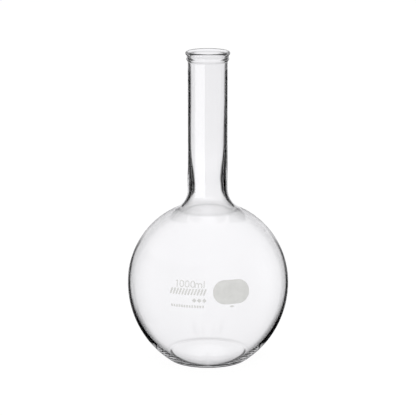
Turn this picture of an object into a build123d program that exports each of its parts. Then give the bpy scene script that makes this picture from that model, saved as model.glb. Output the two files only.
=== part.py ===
from build123d import *
import os
from math import cos, radians, sin, sqrt

# Flat-bottomed boiling flask of 1000 ml: one piece of clear borosilicate glass, and the
# light grey enamel markings fired onto its front.
# Millimetres. +Z runs up the flask's axis, and the origin is the centre of the foot, on the table.
# The marked side faces -Y, with the writing patch towards +X.

# Outside sizes
body_diameter = 131.0
overall_height = 252.6
neck_diameter = 31.9

# Outside of the bulb: arcs of the meridian, all tangent to each other
equator_height = 63.4
lower_radius = 78.4
upper_radius = 67.1
shoulder_radius = 19.6  # hollow curve between bulb and neck
heel_radius = 4.5
foot_width = 4.5  # flat ring that stands on the table
base_rise = 1.0  # the base is pushed up inside that ring

# Rim: a bead, a shallow waist under it, a low collar, and a hollow curve down to the neck
lip_radius = 2.1  # from the top of the bead into the bore
bead_radius = 1.45
waist_radius = 2.2
collar_radius = 1.5
collar_diameter = 34.2
collar_drop = 6.0  # from the top to the middle of the collar
under_collar_radius = 3.0

# Inside of the glass
bore_diameter = 28.6
throat_diameter = 26.2  # the neck wall thickens towards the bulb
bore_bottom = 180.0
throat_top = 145.0
equator_wall = 1.9
floor_wall = 3.0
inner_upper_radius = 66.75
inner_lower_radius = 73.5
inner_shoulder_radius = 19.0
inner_heel_radius = 8.0

# Enamel markings: heights above the table, and angles round the axis from the front to +X
enamel = 0.1
patch_width = 29.5
patch_height = 19.0
patch_corner = 9.3
patch_angle = 16.6
patch_at = 72.2
dot_width = 3.4
dot_height = 1.5
dot_at = 60.8

capacity_angle = -11.6
capacity_at = 78.6
digit_height = 5.4
digit_width = 3.6
digit_pitch = 4.4
small_letter_height = 3.9
stroke = 0.75

name_angle = -14.2
name_at = 72.6
name_strokes = 12
name_pitch = 2.45
name_height = 5.2
name_stroke = 1.3
name_slant = 20.0

grade_angle = -6.0
grade_at = 66.0
grade_diamonds = 3
grade_pitch = 4.0
grade_side = 2.6

origin_angle = -14.5
origin_at = 61.0
origin_dashes = 13
origin_pitch = 2.1
origin_dash_width = 1.3
origin_height = 2.0

# Derived sizes
body_radius = body_diameter / 2
neck_radius = neck_diameter / 2
bore_radius = bore_diameter / 2
throat_radius = throat_diameter / 2
inner_equator = body_radius - equator_wall


def leg(slope, run):
    """The other leg of a right triangle with this slope side."""
    return sqrt(slope**2 - run**2)


def towards(start, target, distance):
    """The point this far from start, on the line through target."""
    return start + (target - start).normalized() * distance


def beside(upper, upper_reach, lower, lower_reach):
    """The point outside two others, one above the other, at these distances from them."""
    apart = (lower - upper).length
    down = (apart**2 + upper_reach**2 - lower_reach**2) / (2 * apart)
    along = (lower - upper).normalized()
    return upper + along * down + Vector(-along.Y, along.X) * leg(upper_reach, down)


def s_bend(start, end, direction):
    """Two equal arcs that leave start and reach end in the same direction."""
    middle = (start + end) / 2
    first = TangentArc(start, middle, tangent=direction)
    return first, TangentArc(middle, end, tangent=first % 1)


# Centres of the outer arcs in the half section, as radius and height
lower_centre = Vector(body_radius - lower_radius, equator_height)
upper_centre = Vector(body_radius - upper_radius, equator_height)
foot_radius = lower_centre.X + leg(lower_radius - heel_radius, equator_height - heel_radius)
heel_centre = Vector(foot_radius, heel_radius)
shoulder_r = neck_radius + shoulder_radius
shoulder_centre = Vector(
    shoulder_r, equator_height + leg(upper_radius + shoulder_radius, shoulder_r - upper_centre.X)
)
bead_centre = Vector(bore_radius + lip_radius, overall_height - bead_radius)
collar_centre = Vector(collar_diameter / 2 - collar_radius, overall_height - collar_drop)
waist_centre = beside(
    bead_centre, bead_radius + waist_radius, collar_centre, collar_radius + waist_radius
)
under_collar_r = neck_radius + under_collar_radius
under_collar_centre = Vector(
    under_collar_r,
    collar_centre.Y - leg(collar_radius + under_collar_radius, under_collar_r - collar_centre.X),
)

# Centres of the inner arcs
inner_lower_centre = Vector(inner_equator - inner_lower_radius, equator_height)
inner_upper_centre = Vector(inner_equator - inner_upper_radius, equator_height)
inner_shoulder_r = throat_radius + inner_shoulder_radius
inner_shoulder_centre = Vector(
    inner_shoulder_r,
    equator_height
    + leg(inner_upper_radius + inner_shoulder_radius, inner_shoulder_r - inner_upper_centre.X),
)
inner_heel_centre = Vector(
    inner_lower_centre.X
    + leg(inner_lower_radius - inner_heel_radius, equator_height - floor_wall - inner_heel_radius),
    floor_wall + inner_heel_radius,
)

with BuildPart() as flask_glass:
    with BuildSketch(Plane.XZ):
        with BuildLine():
            # Outside, from the middle of the base up to the rim
            base = s_bend(Vector(0, base_rise), Vector(foot_radius - foot_width, 0), (1, 0))
            foot = Line(base[1] @ 1, (foot_radius, 0))
            heel = TangentArc(
                foot @ 1, towards(lower_centre, heel_centre, lower_radius), tangent=foot % 1
            )
            lower = TangentArc(heel @ 1, (body_radius, equator_height), tangent=heel % 1)
            upper = TangentArc(
                lower @ 1, towards(upper_centre, shoulder_centre, upper_radius), tangent=(0, 1)
            )
            shoulder = TangentArc(upper @ 1, (neck_radius, shoulder_centre.Y), tangent=upper % 1)
            neck = Line(shoulder @ 1, (neck_radius, under_collar_centre.Y))
            under_collar = TangentArc(
                neck @ 1,
                towards(collar_centre, under_collar_centre, collar_radius),
                tangent=neck % 1,
            )
            collar = TangentArc(
                under_collar @ 1,
                towards(collar_centre, waist_centre, collar_radius),
                tangent=under_collar % 1,
            )
            waist = TangentArc(
                collar @ 1, towards(bead_centre, waist_centre, bead_radius), tangent=collar % 1
            )
            bead = TangentArc(waist @ 1, (bead_centre.X, overall_height), tangent=waist % 1)
            # Inside, from the rim down to the middle of the floor
            lip = TangentArc(bead @ 1, (bore_radius, overall_height - lip_radius), tangent=(-1, 0))
            bore = Line(lip @ 1, (bore_radius, bore_bottom))
            taper = s_bend(bore @ 1, Vector(throat_radius, throat_top), (0, -1))
            throat = Line(taper[1] @ 1, (throat_radius, inner_shoulder_centre.Y))
            inner_shoulder = TangentArc(
                throat @ 1,
                towards(inner_upper_centre, inner_shoulder_centre, inner_upper_radius),
                tangent=(0, -1),
            )
            inner_upper = TangentArc(
                inner_shoulder @ 1, (inner_equator, equator_height), tangent=inner_shoulder % 1
            )
            inner_lower = TangentArc(
                inner_upper @ 1,
                towards(inner_lower_centre, inner_heel_centre, inner_lower_radius),
                tangent=(0, -1),
            )
            inner_heel = TangentArc(
                inner_lower @ 1, (inner_heel_centre.X, floor_wall), tangent=inner_lower % 1
            )
            inner_floor = s_bend(
                inner_heel @ 1, Vector(0, floor_wall + base_rise), (-1, 0)
            )
            Line(inner_floor[1] @ 1, base[0] @ 0)
        make_face()
    revolve(axis=Axis.Z)

# The film of enamel that every marking is cut from: a thin skin round the bulb, which lies on
# the glass from a little below the equator to a little above the markings.
film_below = -14
film_above = 22
with BuildPart() as film:
    with BuildSketch(Plane.XZ):
        with BuildLine():
            low = CenterArc(lower_centre, lower_radius, film_below, -film_below)
            high = CenterArc(upper_centre, upper_radius, 0, film_above)
            low_face = CenterArc(lower_centre, lower_radius + enamel, film_below, -film_below)
            high_face = CenterArc(upper_centre, upper_radius + enamel, 0, film_above)
            Line(low @ 0, low_face @ 0)
            Line(high @ 1, high_face @ 1)
        make_face()
    revolve(axis=Axis.Z)

# Each marking's outline is drawn flat inside the bulb wall and pushed out through it.
outline_depth = body_radius - 10
outline_reach = 12


def marking_plane(angle, height):
    """An upright plane inside the bulb that faces outwards at this angle round the axis."""
    turn = radians(angle)
    outwards = Vector(sin(turn), -cos(turn), 0)
    return Plane(
        origin=outwards * outline_depth + Vector(0, 0, height),
        x_dir=(cos(turn), sin(turn), 0),
        z_dir=outwards,
    )


with BuildPart() as writing_patch:
    with BuildSketch(marking_plane(patch_angle, patch_at)):
        RectangleRounded(patch_width, patch_height, patch_corner)
    extrude(amount=outline_reach)
    add(film.part, mode=Mode.INTERSECT)

with BuildPart() as patch_dot:
    with BuildSketch(marking_plane(patch_angle, dot_at)):
        Ellipse(dot_width / 2, dot_height / 2)
    extrude(amount=outline_reach)
    add(film.part, mode=Mode.INTERSECT)

# Capacity: the figures 1000 and the unit ml, drawn with strokes of one width
one_x = -2.65 * digit_pitch
first_zero_x = one_x + 0.85 * digit_pitch
arch_radius = 1.3
m_x = first_zero_x + 3.05 * digit_pitch
l_x = m_x + 2 * arch_radius + stroke + 1.0
baseline = -digit_height / 2
arch_y = baseline + small_letter_height - arch_radius - stroke / 2
arch_places = [(m_x - arch_radius, arch_y), (m_x + arch_radius, arch_y)]
with BuildPart() as capacity_marking:
    with BuildSketch(marking_plane(capacity_angle, capacity_at)):
        # the two arches of the m, cut off below their centres, and then its three legs
        with Locations(*arch_places):
            Circle(arch_radius + stroke / 2)
        with Locations(*arch_places):
            Circle(arch_radius - stroke / 2, mode=Mode.SUBTRACT)
        with Locations((m_x, arch_y - arch_radius)):
            Rectangle(5 * arch_radius, 2 * arch_radius, mode=Mode.SUBTRACT)
        for leg_x in (m_x - 2 * arch_radius, m_x, m_x + 2 * arch_radius):
            with Locations((leg_x, (baseline + arch_y) / 2)):
                Rectangle(stroke, arch_y - baseline)
        # the one with its flag, and the l
        with Locations((one_x, 0), (l_x, 0)):
            Rectangle(stroke, digit_height)
        with Locations((one_x - stroke, digit_height / 2 - stroke)):
            Rectangle(1.6 * stroke, 0.9 * stroke, rotation=35)
        # the three noughts
        for index in range(3):
            with Locations((first_zero_x + index * digit_pitch, 0)):
                SlotOverall(digit_height, digit_width, rotation=90)
                SlotOverall(
                    digit_height - 2 * stroke,
                    digit_width - 2 * stroke,
                    rotation=90,
                    mode=Mode.SUBTRACT,
                )
    extrude(amount=outline_reach)
    add(film.part, mode=Mode.INTERSECT)

# Three blank bands stand where a maker prints a name, a grade and an origin
with BuildPart() as name_band:
    with BuildSketch(marking_plane(name_angle, name_at)):
        with GridLocations(name_pitch, 0, name_strokes, 1):
            Rectangle(name_stroke, name_height, rotation=-name_slant)
    extrude(amount=outline_reach)
    add(film.part, mode=Mode.INTERSECT)

with BuildPart() as grade_band:
    with BuildSketch(marking_plane(grade_angle, grade_at)):
        with GridLocations(grade_pitch, 0, grade_diamonds, 1):
            Rectangle(grade_side, grade_side, rotation=45)
    extrude(amount=outline_reach)
    add(film.part, mode=Mode.INTERSECT)

with BuildPart() as origin_band:
    with BuildSketch(marking_plane(origin_angle, origin_at)):
        with GridLocations(origin_pitch, 0, origin_dashes, 1):
            Rectangle(origin_dash_width, origin_height)
    extrude(amount=outline_reach)
    add(film.part, mode=Mode.INTERSECT)

pieces = {
    "flask_glass": flask_glass,
    "writing_patch": writing_patch,
    "patch_dot": patch_dot,
    "capacity_marking": capacity_marking,
    "name_band": name_band,
    "grade_band": grade_band,
    "origin_band": origin_band,
}
os.makedirs("parts", exist_ok=True)
for node, piece in pieces.items():
    piece.part.label = node
    export_step(piece.part, f"parts/{node}.step")
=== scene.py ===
from math import atan2, cos, hypot, pi, radians, sin, sqrt

import bmesh
import bpy
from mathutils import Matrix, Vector


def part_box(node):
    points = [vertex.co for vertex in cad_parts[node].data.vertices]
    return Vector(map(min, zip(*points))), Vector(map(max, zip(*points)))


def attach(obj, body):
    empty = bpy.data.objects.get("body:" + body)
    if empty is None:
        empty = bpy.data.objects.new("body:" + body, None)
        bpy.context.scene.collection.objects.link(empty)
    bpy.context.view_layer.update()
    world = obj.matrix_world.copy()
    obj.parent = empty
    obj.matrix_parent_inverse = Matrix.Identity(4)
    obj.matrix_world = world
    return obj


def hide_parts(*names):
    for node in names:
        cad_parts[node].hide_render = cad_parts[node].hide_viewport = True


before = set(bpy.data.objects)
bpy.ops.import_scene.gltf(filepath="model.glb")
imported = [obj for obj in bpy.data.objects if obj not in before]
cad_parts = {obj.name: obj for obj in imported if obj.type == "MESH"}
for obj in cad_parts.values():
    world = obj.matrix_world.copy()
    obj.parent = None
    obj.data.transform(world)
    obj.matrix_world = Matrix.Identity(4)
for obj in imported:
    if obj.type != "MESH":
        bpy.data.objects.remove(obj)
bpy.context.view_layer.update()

# Flat-bottomed boiling flask of 1000 ml: clear borosilicate glass with light grey enamel markings.
# Metres, in the CAD frame: +Z up along the flask's axis, origin at the centre of the foot,
# the marked front towards -Y and the writing patch towards +X.

MM = 0.001

# ---------------------------------------------------------------- camera
CAMERA_DISTANCE = 1.440  # from the flask's axis, along the table
CAMERA_HEIGHT = 0.468  # above the table
CAMERA_PITCH = radians(13.40)  # looking down
CAMERA_LENS = 158.5  # millimetres on a 36 mm sensor


def make_camera():
    data = bpy.data.cameras.new("camera")
    data.lens = CAMERA_LENS
    data.sensor_width = 36.0
    data.clip_start = 0.01
    data.clip_end = 100.0
    camera = bpy.data.objects.new("camera", data)
    camera.location = (0.0, -CAMERA_DISTANCE, CAMERA_HEIGHT)
    camera.rotation_euler = (pi / 2 - CAMERA_PITCH, 0.0, 0.0)
    bpy.context.collection.objects.link(camera)
    bpy.context.scene.camera = camera
    return camera


camera = make_camera()

# ---------------------------------------------------------------- outline of the glass
# The same arcs as in the CAD part, which stands for the glass in the physics.
flask_low, flask_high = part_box("flask_glass")
HEIGHT = flask_high.z
BODY_R = 65.5 * MM
EQUATOR = 63.4 * MM
LOWER_R = 78.4 * MM
UPPER_R = 67.1 * MM
SHOULDER_R = 19.6 * MM
HEEL_R = 4.5 * MM
FOOT_WIDTH = 4.5 * MM
BASE_RISE = 1.0 * MM
NECK_R = 15.95 * MM
LIP_R = 2.1 * MM
BEAD_R = 1.45 * MM
WAIST_R = 2.2 * MM
COLLAR_R = 1.5 * MM
COLLAR_OUTSIDE = 17.1 * MM
COLLAR_DROP = 6.0 * MM
UNDER_COLLAR_R = 3.0 * MM
BORE_R = 14.3 * MM
THROAT_R = 13.1 * MM
BORE_BOTTOM = 180.0 * MM
THROAT_TOP = 145.0 * MM
EQUATOR_WALL = 1.9 * MM
FLOOR_WALL = 3.0 * MM
INNER_UPPER_R = 66.75 * MM
INNER_LOWER_R = 73.5 * MM
INNER_SHOULDER_R = 19.0 * MM
INNER_HEEL_R = 8.0 * MM


def leg(slope, run):
    """The other leg of a right triangle with this slope side."""
    return sqrt(slope**2 - run**2)


def arc(centre, start, end, spacing):
    """Points on the shorter arc round centre from start to end, without the end point."""
    radius = hypot(start[0] - centre[0], start[1] - centre[1])
    first = atan2(start[1] - centre[1], start[0] - centre[0])
    turn = atan2(end[1] - centre[1], end[0] - centre[0]) - first
    turn = (turn + pi) % (2 * pi) - pi
    steps = max(4, round(abs(turn) * radius / spacing))
    return [
        (centre[0] + radius * cos(first + turn * i / steps),
         centre[1] + radius * sin(first + turn * i / steps))
        for i in range(steps)
    ]


def line(start, end, spacing):
    """Evenly spaced points from start towards end, without the end point."""
    steps = max(1, round(hypot(end[0] - start[0], end[1] - start[1]) / spacing))
    return [
        (start[0] + (end[0] - start[0]) * i / steps, start[1] + (end[1] - start[1]) * i / steps)
        for i in range(steps)
    ]


def s_bend(start, end, along_z, spacing):
    """Two equal arcs that leave start and reach end in the same direction."""
    middle = ((start[0] + end[0]) / 2, (start[1] + end[1]) / 2)
    across, along = end[0] - start[0], end[1] - start[1]
    if not along_z:
        across, along = along, across
    radius = (across**2 + along**2) / (4 * abs(across))
    side = radius if across > 0 else -radius
    if along_z:
        centres = ((start[0] + side, start[1]), (end[0] - side, end[1]))
    else:
        centres = ((start[0], start[1] + side), (end[0], end[1] - side))
    return arc(centres[0], start, middle, spacing) + arc(centres[1], middle, end, spacing)


def towards(centre, target, distance):
    """The point this far from centre, on the line through target."""
    reach = hypot(target[0] - centre[0], target[1] - centre[1])
    return (
        centre[0] + (target[0] - centre[0]) * distance / reach,
        centre[1] + (target[1] - centre[1]) * distance / reach,
    )


def beside(upper, upper_reach, lower, lower_reach):
    """The point outside two others, one above the other, at these distances from them."""
    apart = hypot(lower[0] - upper[0], lower[1] - upper[1])
    down = (apart**2 + upper_reach**2 - lower_reach**2) / (2 * apart)
    across = leg(upper_reach, down)
    run, drop = (lower[0] - upper[0]) / apart, (lower[1] - upper[1]) / apart
    return (upper[0] + run * down - drop * across, upper[1] + drop * down + run * across)


INNER_EQUATOR = BODY_R - EQUATOR_WALL
LOWER_C = (BODY_R - LOWER_R, EQUATOR)
UPPER_C = (BODY_R - UPPER_R, EQUATOR)
FOOT_R = LOWER_C[0] + leg(LOWER_R - HEEL_R, EQUATOR - HEEL_R)
HEEL_C = (FOOT_R, HEEL_R)
SHOULDER_C = (
    NECK_R + SHOULDER_R,
    EQUATOR + leg(UPPER_R + SHOULDER_R, NECK_R + SHOULDER_R - UPPER_C[0]),
)
BEAD_C = (BORE_R + LIP_R, HEIGHT - BEAD_R)
COLLAR_C = (COLLAR_OUTSIDE - COLLAR_R, HEIGHT - COLLAR_DROP)
WAIST_C = beside(BEAD_C, BEAD_R + WAIST_R, COLLAR_C, COLLAR_R + WAIST_R)
UNDER_COLLAR_C = (
    NECK_R + UNDER_COLLAR_R,
    COLLAR_C[1] - leg(COLLAR_R + UNDER_COLLAR_R, NECK_R + UNDER_COLLAR_R - COLLAR_C[0]),
)
INNER_LOWER_C = (INNER_EQUATOR - INNER_LOWER_R, EQUATOR)
INNER_UPPER_C = (INNER_EQUATOR - INNER_UPPER_R, EQUATOR)
INNER_SHOULDER_C = (
    THROAT_R + INNER_SHOULDER_R,
    EQUATOR + leg(INNER_UPPER_R + INNER_SHOULDER_R, THROAT_R + INNER_SHOULDER_R - INNER_UPPER_C[0]),
)
INNER_HEEL_C = (
    INNER_LOWER_C[0] + leg(INNER_LOWER_R - INNER_HEEL_R, EQUATOR - FLOOR_WALL - INNER_HEEL_R),
    FLOOR_WALL + INNER_HEEL_R,
)
INNER_FLOOR = FLOOR_WALL + BASE_RISE


def outer_profile():
    """Radius and height of the outside, from the middle of the base to the top of the rim."""
    heel_top = towards(LOWER_C, HEEL_C, LOWER_R)
    equator = (BODY_R, EQUATOR)
    shoulder = towards(UPPER_C, SHOULDER_C, UPPER_R)
    neck_low = (NECK_R, SHOULDER_C[1])
    neck_high = (NECK_R, UNDER_COLLAR_C[1])
    collar_low = towards(COLLAR_C, UNDER_COLLAR_C, COLLAR_R)
    collar_high = towards(COLLAR_C, WAIST_C, COLLAR_R)
    bead_low = towards(BEAD_C, WAIST_C, BEAD_R)
    bead_side = (BEAD_C[0] + BEAD_R, BEAD_C[1])
    bead_top = (BEAD_C[0], HEIGHT)
    points = s_bend((0.0, BASE_RISE), (FOOT_R - FOOT_WIDTH, 0.0), False, 1.0 * MM)
    points += line((FOOT_R - FOOT_WIDTH, 0.0), (FOOT_R, 0.0), 1.0 * MM)
    points += arc(HEEL_C, (FOOT_R, 0.0), heel_top, 0.4 * MM)
    points += arc(LOWER_C, heel_top, equator, 1.0 * MM)
    points += arc(UPPER_C, equator, shoulder, 1.0 * MM)
    points += arc(SHOULDER_C, shoulder, neck_low, 0.6 * MM)
    points += line(neck_low, neck_high, 3.0 * MM)
    points += arc(UNDER_COLLAR_C, neck_high, collar_low, 0.2 * MM)
    points += arc(COLLAR_C, collar_low, collar_high, 0.2 * MM)
    points += arc(WAIST_C, collar_high, bead_low, 0.2 * MM)
    points += arc(BEAD_C, bead_low, bead_side, 0.2 * MM)
    points += arc(BEAD_C, bead_side, bead_top, 0.2 * MM)
    return points


def inner_profile():
    """Radius and height of the inside, from the top of the rim to the middle of the floor."""
    bead_top = (BEAD_C[0], HEIGHT)
    bore_top = (BORE_R, HEIGHT - LIP_R)
    bore_low = (BORE_R, BORE_BOTTOM)
    throat_high = (THROAT_R, THROAT_TOP)
    throat_low = (THROAT_R, INNER_SHOULDER_C[1])
    shoulder = towards(INNER_UPPER_C, INNER_SHOULDER_C, INNER_UPPER_R)
    equator = (INNER_EQUATOR, EQUATOR)
    heel_top = towards(INNER_LOWER_C, INNER_HEEL_C, INNER_LOWER_R)
    heel_low = (INNER_HEEL_C[0], FLOOR_WALL)
    points = arc((BEAD_C[0], HEIGHT - LIP_R), bead_top, bore_top, 0.2 * MM)
    points += line(bore_top, bore_low, 3.0 * MM)
    points += s_bend(bore_low, throat_high, True, 1.0 * MM)
    points += line(throat_high, throat_low, 1.0 * MM)
    points += arc(INNER_SHOULDER_C, throat_low, shoulder, 0.6 * MM)
    points += arc(INNER_UPPER_C, shoulder, equator, 1.0 * MM)
    points += arc(INNER_LOWER_C, equator, heel_top, 1.0 * MM)
    points += arc(INNER_HEEL_C, heel_top, heel_low, 0.4 * MM)
    points += s_bend(heel_low, (0.0, INNER_FLOOR), False, 1.0 * MM)
    points.append((0.0, INNER_FLOOR))
    return points


AROUND = 288  # points in each ring of the lathe


def ramp(x, stops):
    """Straight lines between the (x, value) stops, flat beyond the first and the last."""
    if x <= stops[0][0]:
        return stops[0][1]
    for (x0, v0), (x1, v1) in zip(stops, stops[1:]):
        if x <= x1:
            return v0 + (v1 - v0) * (x - x0) / (x1 - x0)
    return stops[-1][1]


def smooth(low, high, x):
    """Eased step from 0 at low to 1 at high."""
    t = min(max((x - low) / (high - low), 0.0), 1.0)
    return t * t * (3.0 - 2.0 * t)


def lathe(name, profile, shift):
    """Turns the profile round Z. It starts and ends on the axis; shift moves each point a little."""
    mesh = bmesh.new()
    rings = []
    for index, (radius, height) in enumerate(profile):
        if radius < 1e-9:
            rings.append([mesh.verts.new((0.0, 0.0, height))] * AROUND)
            continue
        ring = []
        for step in range(AROUND):
            angle = 2 * pi * step / AROUND
            spot = Vector((radius * sin(angle), -radius * cos(angle), height))
            ring.append(mesh.verts.new(shift(index, spot)))
        rings.append(ring)
    for lower, upper in zip(rings, rings[1:]):
        for step in range(AROUND):
            corners = [lower[step], lower[step - 1], upper[step - 1], upper[step]]
            corners = list(dict.fromkeys(corners))
            face = mesh.faces.new(corners)
            face.smooth = True
    mesh.normal_update()
    data = bpy.data.meshes.new(name)
    bmesh.ops.recalc_face_normals(mesh, faces=mesh.faces)
    mesh.to_mesh(data)
    mesh.free()
    piece = bpy.data.objects.new(name, data)
    bpy.context.collection.objects.link(piece)
    return piece


# The flask is blown by hand: its neck and the bore run a little off the middle, and where the
# neck was joined to the bulb a slight bump is left on one side.
NECK_LEAN = [(0.125, 0.0), (0.160, 0.2 * MM)]
BORE_OFFSET = [(0.138, 0.0), (0.150, 0.3 * MM), (0.160, 0.2 * MM), (0.190, 0.15 * MM), (0.21, 0.0)]
BUMP_HEIGHT = 0.1475
BUMP_REACH = 0.014
BUMP = 0.5 * MM

outside = outer_profile()
inside = inner_profile()


def hand_worked(index, spot):
    """Shift a point of the lathe as hand work would: neck leaning, bore off the middle, a bump."""
    spot.x -= ramp(spot.z, NECK_LEAN)
    if index >= len(outside):
        spot.x -= ramp(spot.z, BORE_OFFSET)
        return spot
    facing_left = max(0.0, -spot.x / hypot(spot.x, spot.y))
    near = 1.0 - smooth(0.0, BUMP_REACH, abs(spot.z - BUMP_HEIGHT))
    spot.x -= BUMP * near * facing_left**2
    return spot


# ---------------------------------------------------------------- materials
def new_material(name):
    material = bpy.data.materials.new(name)
    material.use_nodes = True
    nodes = material.node_tree.nodes
    nodes.clear()
    output = nodes.new("ShaderNodeOutputMaterial")
    shader = nodes.new("ShaderNodeBsdfPrincipled")
    material.node_tree.links.new(shader.outputs["BSDF"], output.inputs["Surface"])
    return material, nodes, material.node_tree.links, shader


def glass_material():
    """Clear borosilicate glass with the faint waves that blowing leaves in the surface."""
    material, nodes, links, shader = new_material("borosilicate_glass")
    shader.inputs["Base Color"].default_value = (1.0, 1.0, 1.0, 1.0)
    shader.inputs["Transmission Weight"].default_value = 1.0
    shader.inputs["Roughness"].default_value = 0.0
    shader.inputs["IOR"].default_value = 1.473
    place = nodes.new("ShaderNodeTexCoord")
    waves = nodes.new("ShaderNodeTexNoise")
    waves.inputs["Scale"].default_value = 45.0
    waves.inputs["Detail"].default_value = 2.0
    bump = nodes.new("ShaderNodeBump")
    bump.inputs["Strength"].default_value = 0.05
    bump.inputs["Distance"].default_value = 0.0005
    links.new(place.outputs["Object"], waves.inputs["Vector"])
    links.new(waves.outputs["Fac"], bump.inputs["Height"])
    links.new(bump.outputs["Normal"], shader.inputs["Normal"])
    return material


def enamel_material():
    """Matte grey enamel, printed and fired, with a slight mottle and a fine grain."""
    material, nodes, links, shader = new_material("grey_enamel")
    shader.inputs["Roughness"].default_value = 0.55
    place = nodes.new("ShaderNodeTexCoord")
    mottle = nodes.new("ShaderNodeTexNoise")
    mottle.inputs["Scale"].default_value = 220.0
    mottle.inputs["Detail"].default_value = 4.0
    tones = nodes.new("ShaderNodeValToRGB")
    tones.color_ramp.elements[0].position = 0.3
    tones.color_ramp.elements[0].color = (0.62, 0.62, 0.605, 1.0)
    tones.color_ramp.elements[1].position = 0.7
    tones.color_ramp.elements[1].color = (0.68, 0.68, 0.665, 1.0)
    grain = nodes.new("ShaderNodeTexNoise")
    grain.inputs["Scale"].default_value = 2500.0
    bump = nodes.new("ShaderNodeBump")
    bump.inputs["Strength"].default_value = 0.15
    bump.inputs["Distance"].default_value = 0.00005
    links.new(place.outputs["Object"], mottle.inputs["Vector"])
    links.new(place.outputs["Object"], grain.inputs["Vector"])
    links.new(mottle.outputs["Fac"], tones.inputs["Fac"])
    links.new(tones.outputs["Color"], shader.inputs["Base Color"])
    links.new(grain.outputs["Fac"], bump.inputs["Height"])
    links.new(bump.outputs["Normal"], shader.inputs["Normal"])
    return material


glass = glass_material()
enamel = enamel_material()

# ---------------------------------------------------------------- the glass
flask = lathe("flask_glass_body", outside + inside, hand_worked)
flask.data.materials.append(glass)
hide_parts("flask_glass")
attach(flask, "root")

# ---------------------------------------------------------------- the enamel markings
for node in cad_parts:
    if node == "flask_glass":
        continue
    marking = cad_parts[node]
    marking.data.materials.clear()
    marking.data.materials.append(enamel)

# ---------------------------------------------------------------- floor and light
FLOOR_SIZE = 40.0
FLOOR_HEIGHT = -0.0002  # just under the foot


def board(name, width, height, material):
    """A flat board in its own XY plane, facing +Z."""
    mesh = bmesh.new()
    bmesh.ops.create_grid(mesh, x_segments=1, y_segments=1, size=0.5)
    data = bpy.data.meshes.new(name)
    mesh.to_mesh(data)
    mesh.free()
    thing = bpy.data.objects.new(name, data)
    thing.scale = (width, height, 1.0)
    data.materials.append(material)
    bpy.context.collection.objects.link(thing)
    return thing


floor_paper, _, _, floor_shader = new_material("floor_paper")
floor_shader.inputs["Base Color"].default_value = (0.06, 0.06, 0.06, 1.0)
floor_shader.inputs["Roughness"].default_value = 0.9
floor_shader.inputs["Specular IOR Level"].default_value = 0.0
floor_shader.inputs["Emission Color"].default_value = (1.0, 1.0, 1.0, 1.0)
floor_shader.inputs["Emission Strength"].default_value = 0.97
floor = board("floor", FLOOR_SIZE, FLOOR_SIZE, floor_paper)
floor.location = (0.0, 0.0, FLOOR_HEIGHT)
floor.visible_glossy = False
floor.visible_transmission = False

# The studio round the flask: a light tent which only the glass sees. Behind the flask is a bright
# window, with a dark curtain on each side that draws the dark edges of the glass, and the rest
# is a dim room. It turns with the camera, as a photographer sets it up behind the object.
DOME_RADIUS = 3.0
DOME_STEP = 1.5  # degrees between its vertices
TENT_TINT = (0.992, 0.988, 1.008)  # the cloth is a cool white
# Each table holds (elevation, value) stops. HALF, SOFT and START are degrees of azimuth
# from straight behind, and LIGHT is brightness. The tent is dark from the window's edge to SIDE_START.
WINDOW_HALF = [
    (-60, 2), (-45, 6), (-36, 8), (-28, 10), (-22, 11), (-17, 14), (-8, 14), (-4, 18), (0, 24), (10, 40),
]
WINDOW_SOFT = [(-60, 4), (-45, 8), (-30, 9), (-20, 7), (-8, 5), (0, 12), (10, 16), (30, 30)]
WINDOW_LIGHT = [
    (-80, 0.9), (-68, 0.2), (-45, 0.25), (-36, 0.7), (-24, 0.95), (-14, 1.05), (-4, 0.97), (10, 0.88),
    (30, 0.8),
]
WINDOW_FADE = 0.010  # per degree away from the middle
SIDE_LIGHT = [
    (-80, 0.9), (-68, 0.5), (-22, 0.55), (-15, 0.62), (0, 0.68), (15, 0.7), (40, 0.6), (90, 0.8),
]
SIDE_START = [(-80, 0), (-68, 33), (-30, 33), (-20, 30), (-8, 26), (-4, 20)]
SIDE_SOFT = [(-30, 18), (-18, 10), (0, 10), (5, 18)]
FRONT_LIGHT = [
    (-80, 0.9), (-68, 0.3), (-25, 0.05), (-8, 0.02), (5, 0.2), (25, 0.45), (45, 0.6), (60, 0.6), (90, 0.7),
]


def studio_light(azimuth, elevation):
    """Light from this direction, in degrees: azimuth 0 is straight behind the flask."""
    aside = abs(azimuth)
    half, soft = ramp(elevation, WINDOW_HALF), ramp(elevation, WINDOW_SOFT)
    window = 1.0 - smooth(half - soft / 2, half + soft / 2, aside)
    bright = ramp(elevation, WINDOW_LIGHT) * (1.0 - WINDOW_FADE * min(max(aside - 4.0, 0.0), 12.0))
    start = ramp(elevation, SIDE_START)
    side = ramp(elevation, SIDE_LIGHT) * smooth(start, start + ramp(elevation, SIDE_SOFT), aside)
    front = smooth(70, 130, aside)
    room = side * (1.0 - front) + ramp(elevation, FRONT_LIGHT) * front
    return window * bright + (1.0 - window) * room


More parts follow.
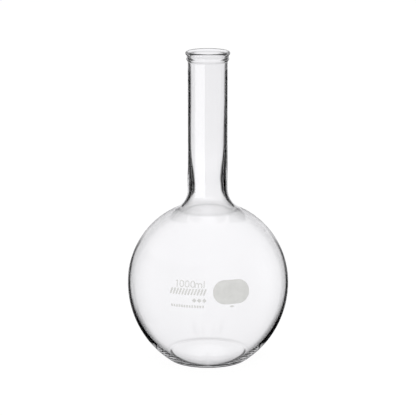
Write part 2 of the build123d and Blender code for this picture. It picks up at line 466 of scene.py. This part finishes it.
def light_dome(name):
    """The inside of the tent, a sphere whose colour at each vertex is the light from there."""
    across, up = round(360 / DOME_STEP), round(180 / DOME_STEP)
    spots, lights, faces = [], [], []
    for row in range(up + 1):
        elevation = -90 + row * DOME_STEP
        for column in range(across):
            azimuth = -180 + column * DOME_STEP
            flat = DOME_RADIUS * cos(radians(elevation))
            spots.append((flat * sin(radians(azimuth)), flat * cos(radians(azimuth)),
                          DOME_RADIUS * sin(radians(elevation))))
            lights.append(studio_light(azimuth, elevation))
    for row in range(up):
        for column in range(across):
            beside_it = (column + 1) % across
            faces.append((row * across + column, row * across + beside_it,
                          (row + 1) * across + beside_it, (row + 1) * across + column))
    data = bpy.data.meshes.new(name)
    data.from_pydata(spots, [], faces)
    tint = data.color_attributes.new("light", "FLOAT_COLOR", "POINT")
    for index, light in enumerate(lights):
        tint.data[index].color = (*(light * share for share in TENT_TINT), 1.0)
    material = bpy.data.materials.new(name)
    material.use_nodes = True
    nodes, links = material.node_tree.nodes, material.node_tree.links
    nodes.clear()
    output = nodes.new("ShaderNodeOutputMaterial")
    glow = nodes.new("ShaderNodeEmission")
    painted = nodes.new("ShaderNodeAttribute")
    painted.attribute_name = "light"
    links.new(painted.outputs["Color"], glow.inputs["Color"])
    links.new(glow.outputs["Emission"], output.inputs["Surface"])
    material.cycles.emission_sampling = "NONE"
    data.materials.append(material)
    dome = bpy.data.objects.new(name, data)
    bpy.context.collection.objects.link(dome)
    return dome


rig = bpy.data.objects.new("studio_rig", None)
bpy.context.collection.objects.link(rig)
facing = rig.constraints.new("LOCKED_TRACK")
facing.target = camera
facing.track_axis = "TRACK_NEGATIVE_Y"
facing.lock_axis = "LOCK_Z"


def only_in_glass(thing):
    """The thing neither shows by itself, nor shades, nor lights the table."""
    thing.visible_camera = False
    thing.visible_diffuse = False
    thing.visible_shadow = False
    thing.parent = rig


only_in_glass(light_dome("light_tent"))


CARD_STEPS = 12  # flat faces along the curve of a card


def curved_card(name, away, angles, heights, light, reflected, through):
    """An upright card round the flask, from one azimuth to another; 0 is straight behind.

    A card is reflected in the outer surface, or seen through the glass, or both.
    """
    corners, faces = [], []
    for step in range(CARD_STEPS + 1):
        azimuth = radians(angles[0] + (angles[1] - angles[0]) * step / CARD_STEPS)
        for height in heights:
            corners.append((away * sin(azimuth), away * cos(azimuth), height))
    for step in range(CARD_STEPS):
        faces.append((2 * step, 2 * step + 2, 2 * step + 3, 2 * step + 1))
    data = bpy.data.meshes.new(name)
    data.from_pydata(corners, [], faces)
    material = bpy.data.materials.new(name)
    material.use_nodes = True
    nodes = material.node_tree.nodes
    nodes.clear()
    output = nodes.new("ShaderNodeOutputMaterial")
    glow = nodes.new("ShaderNodeEmission")
    glow.inputs["Strength"].default_value = light
    material.node_tree.links.new(glow.outputs["Emission"], output.inputs["Surface"])
    material.cycles.emission_sampling = "NONE"
    data.materials.append(material)
    thing = bpy.data.objects.new(name, data)
    bpy.context.collection.objects.link(thing)
    only_in_glass(thing)
    thing.visible_glossy = reflected
    thing.visible_transmission = through


# The cards stand nearer to the glass than real ones could, so the camera does not see them.
# Black cards stand beside the shoulder, above the bulb,
curved_card("black_card_left", 0.04, (-105, -41), (0.131, 0.176), 0.0, True, True)
curved_card("black_card_right", 0.04, (41, 105), (0.131, 0.176), 0.0, True, True)
# and closer ones beside the neck and, only seen through the glass, beside the rim.
curved_card("neck_card_left", 0.03, (-110, -44), (0.166, 0.235), 0.0, True, True)
curved_card("neck_card_right", 0.03, (44, 110), (0.166, 0.235), 0.0, True, True)
curved_card("top_card_left", 0.03, (-110, -44), (0.235, 0.29), 0.0, False, True)
curved_card("top_card_right", 0.03, (44, 110), (0.235, 0.29), 0.0, False, True)
# The white card at the front left makes the stripe on the neck, and a lower grey one in front of
# it keeps it off the bulb.
curved_card("white_card", 0.32, (-164, -105), (0.055, 0.210), 3.2, True, False)
curved_card("grey_flag", 0.10, (-175, -85), (0.0, 0.118), 0.2, True, False)


def area_light(name, place, target, width, height, power):
    """A soft light on the enamel and the table; the glass has its own light from the tent."""
    data = bpy.data.lights.new(name, "AREA")
    data.shape = "RECTANGLE"
    data.size = width
    data.size_y = height
    data.energy = power
    light = bpy.data.objects.new(name, data)
    light.location = place
    light.rotation_euler = (Vector(target) - Vector(place)).to_track_quat("-Z", "Y").to_euler()
    light.visible_glossy = False
    light.visible_transmission = False
    light.visible_camera = False
    bpy.context.collection.objects.link(light)


area_light("top_softbox", (0.0, 0.1, 1.5), (0.0, 0.0, 0.1), 1.6, 1.6, 14.0)
area_light("front_fill", (-0.4, -1.8, 0.9), (0.0, 0.0, 0.08), 1.0, 1.0, 9.5)

world = bpy.data.worlds.new("studio")
world.use_nodes = True
world.node_tree.nodes["Background"].inputs["Color"].default_value = (1.0, 1.0, 1.0, 1.0)
world.node_tree.nodes["Background"].inputs["Strength"].default_value = 0.6
scene = bpy.context.scene
scene.world = world
scene.view_settings.view_transform = "Standard"
scene.cycles.use_denoising = True
# Light runs round inside the wall at the heel, reflected again and again. The glossy limit
# cuts it off and so sets how dark the heel's outline is.
scene.cycles.max_bounces = 64
scene.cycles.transmission_bounces = 64
scene.cycles.glossy_bounces = 36
